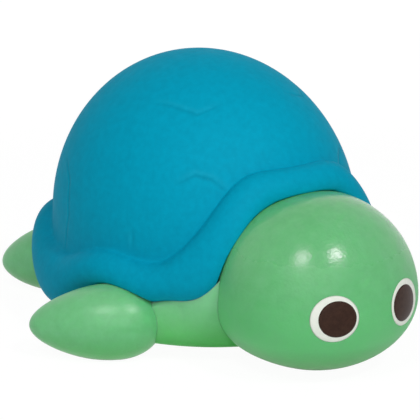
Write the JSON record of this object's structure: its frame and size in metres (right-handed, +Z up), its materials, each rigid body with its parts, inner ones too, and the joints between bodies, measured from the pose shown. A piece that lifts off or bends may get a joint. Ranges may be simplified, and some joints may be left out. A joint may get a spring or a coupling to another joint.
{
  "type": "sea turtle bath toy",
  "caption": "Soft sea turtle bath squirt toy: round blue shell that pulls off a hollow green body with an egg-shaped head, fat flippers, round eyes and a belly plug.",
  "frame": {"origin": "on the floor under the middle of the bounding box", "axes": "+Z up, the turtle faces -Y, its right side is -X"},
  "size_m": [0.1024, 0.1116, 0.0632],
  "materials": {
    "shell": "soft matte blue vinyl",
    "body": "semi-gloss green vinyl",
    "head": "semi-gloss green vinyl",
    "flipper_front_left": "semi-gloss green vinyl",
    "flipper_front_right": "semi-gloss green vinyl",
    "flipper_rear_left": "semi-gloss green vinyl",
    "flipper_rear_right": "semi-gloss green vinyl",
    "eye_white_left": "smooth white",
    "eye_white_right": "smooth white",
    "pupil_left": "smooth dark brown",
    "pupil_right": "smooth dark brown",
    "squirt_plug": "soft green vinyl"
  },
  "bodies": {
    "toy": {"body": "body", "head": "head", "flipper_front_left": "flipper_front_left", "flipper_front_right": "flipper_front_right", "flipper_rear_left": "flipper_rear_left", "flipper_rear_right": "flipper_rear_right", "eye_white_left": "eye_white_left", "eye_white_right": "eye_white_right", "pupil_left": "pupil_left", "pupil_right": "pupil_right"},
    "cap": {"shell": "shell"},
    "plug": {"squirt_plug": "squirt_plug"}
  },
  "joints": [
    {"name": "shell_lift", "type": "slide", "parent": "toy", "child": "cap", "axis": [0, 0, 1], "range_m": [0, 0.06]},
    {"name": "plug_pull", "type": "slide", "parent": "toy", "child": "plug", "axis": [0, 0, -1], "range_m": [0, 0.012]}
  ]
}
